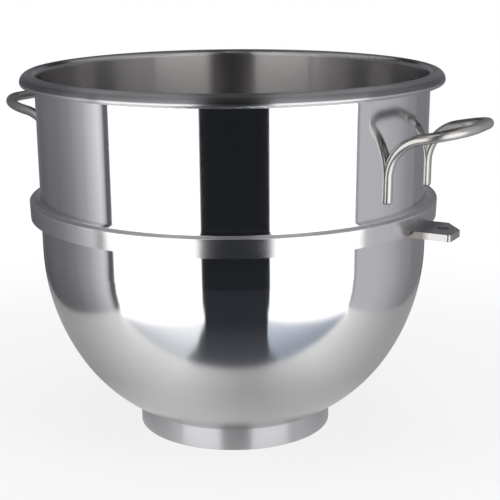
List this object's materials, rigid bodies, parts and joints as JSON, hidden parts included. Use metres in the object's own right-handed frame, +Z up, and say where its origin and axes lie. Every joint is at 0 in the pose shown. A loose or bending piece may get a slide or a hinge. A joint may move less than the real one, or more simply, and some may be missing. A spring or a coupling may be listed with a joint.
{
  "type": "stand mixer bowl",
  "caption": "Deep round stainless steel bowl for a large planetary stand mixer, with a rolled rim, a support band, a foot ring, rod handles and bevelled locating lugs with pin holes.",
  "frame": {"origin": "centre of the foot ring's lower face", "axes": "+Z up along the bowl's axis, +X through the middle of handle_a and the lug under it"},
  "size_m": [0.6484, 0.515, 0.4489],
  "materials": {
    "polished_sheet": "mirror-polished wall, satin towards the base and inside",
    "polished_band": "polished",
    "satin_ring": "satin",
    "polished_rod": "polished",
    "ground_plate": "ground flat"
  },
  "bodies": {
    "root": {"bowl_shell": "polished_sheet", "support_band": "polished_band", "foot_ring": "satin_ring", "handle_a": "polished_rod", "handle_b": "polished_rod", "locating_lug_a": "ground_plate", "locating_lug_b": "ground_plate"}
  },
  "joints": []
}
